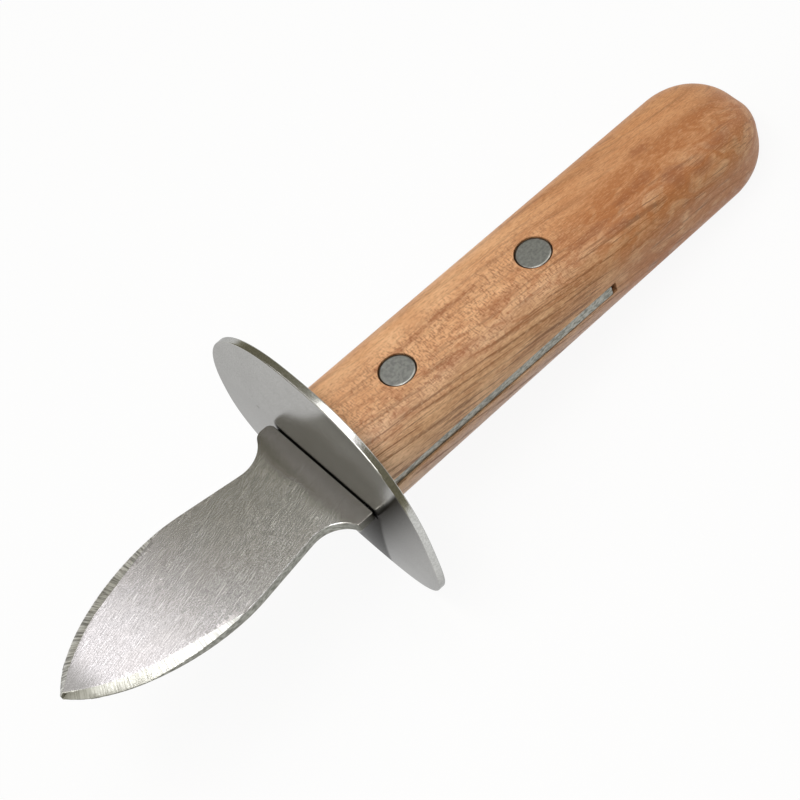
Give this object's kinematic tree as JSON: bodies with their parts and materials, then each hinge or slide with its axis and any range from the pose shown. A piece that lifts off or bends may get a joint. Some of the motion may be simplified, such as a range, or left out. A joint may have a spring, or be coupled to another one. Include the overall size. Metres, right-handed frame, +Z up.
{
  "type": "oyster knife",
  "caption": "Oyster knife with a short leaf-shaped blade and its tang in one plate, a squared oval steel guard and a slotted wooden handle held by sunk round rivets.",
  "frame": {"origin": "on the table, under the middle of the whole knife's box as it lies at rest on the guard's lower rim and the underside of the butt", "axes": "+X along the knife towards the butt, so the tip is on -X; +Y across the blade towards its rounded shoulder; +Z up from the table"},
  "size_m": [0.1484, 0.0536, 0.0439],
  "materials": {
    "blade_steel": "ground satin with fine scratches along the blade, ground bevels",
    "guard_steel": "rolled sheet, half bright",
    "handle_wood": "light orange-brown hardwood, sanded and thinly lacquered",
    "rivet_metal": "dull turned face"
  },
  "bodies": {
    "root": {"blade": "blade_steel", "guard": "guard_steel", "handle": "handle_wood", "front_rivet_sleeve": "rivet_metal", "front_rivet_stud": "rivet_metal", "back_rivet_sleeve": "rivet_metal", "back_rivet_stud": "rivet_metal"}
  },
  "joints": []
}
